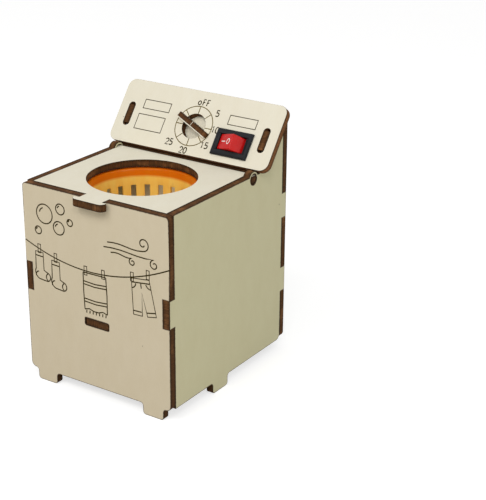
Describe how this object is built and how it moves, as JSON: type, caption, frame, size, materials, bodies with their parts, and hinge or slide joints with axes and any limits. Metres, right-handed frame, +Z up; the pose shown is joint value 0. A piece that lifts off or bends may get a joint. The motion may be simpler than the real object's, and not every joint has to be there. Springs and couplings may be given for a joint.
{
  "type": "toy washing machine",
  "caption": "Toy washing machine of laser-cut plywood: hinged lid with a round opening, spinning slotted tub on a small motor, dial and rocker switch on a sloping panel.",
  "frame": {"origin": "middle of the whole outline, on the surface that the feet stand on", "axes": "+Z up; +X to the right as seen from the front; -Y out of the front panel, +Y towards the battery bay"},
  "size_m": [0.0696, 0.0752, 0.0958],
  "materials": {
    "plywood": "bare ply, edges charred brown by the cutting laser",
    "black_plastic": "moulded, fine matt",
    "red_plastic": "moulded, glossy",
    "orange_plastic": "clear orange, glossy",
    "white_plastic": "moulded",
    "steel": "drawn, plated",
    "brass": "stamped",
    "copper": "enamelled wire",
    "magnet": "sintered ferrite",
    "foam": "closed-cell foam tape",
    "cell_sleeve": "plain shrink sleeve",
    "red_insulation": "soft insulation",
    "black_insulation": "soft insulation"
  },
  "bodies": {
    "case": {"front_panel": "plywood", "back_panel": "plywood", "left_side_panel": "plywood", "right_side_panel": "plywood", "partition_panel": "plywood", "motor_shelf": "plywood", "control_panel": "plywood", "switch_housing": "black_plastic", "switch_terminals": "brass", "motor_can": "steel", "motor_end_cap": "white_plastic", "motor_bush": "brass", "motor_magnets": "magnet", "motor_brushes": "brass", "motor_terminals": "brass", "holder_pad": "foam", "battery_holder": "black_plastic", "cell_left": "cell_sleeve", "cell_right": "cell_sleeve", "contact_springs": "steel", "contact_plates": "steel", "wire_cell_to_switch": "red_insulation", "wire_switch_to_motor": "red_insulation", "wire_motor_to_cell": "black_insulation"},
    "lid": {"lid": "plywood"},
    "dial": {"dial_disc": "plywood", "knob_bar": "plywood"},
    "rocker": {"switch_rocker": "red_plastic"},
    "spinner": {"motor_shaft": "steel", "rotor_core": "steel", "rotor_windings": "copper", "commutator": "brass", "tub_hub": "white_plastic", "tub": "orange_plastic"}
  },
  "joints": [
    {"name": "lid_hinge", "type": "hinge", "parent": "case", "child": "lid", "pos_m": [0, 0.0156, 0.07305], "axis": [-1, 0, 0], "range_deg": [0, 87]},
    {"name": "tub_spin", "type": "hinge", "parent": "case", "child": "spinner", "pos_m": [0, -0.00725, 0.03], "axis": [0, 0, 1], "continuous": true},
    {"name": "dial_turn", "type": "hinge", "parent": "case", "child": "dial", "pos_m": [-0.0004, 0.02405, 0.0849], "axis": [0, -0.7986, 0.6018], "continuous": true},
    {"name": "switch_rock", "type": "hinge", "parent": "case", "child": "rocker", "pos_m": [0.018, 0.02365, 0.08038], "axis": [0, -0.6018, -0.7986], "range_deg": [0, 26]}
  ]
}
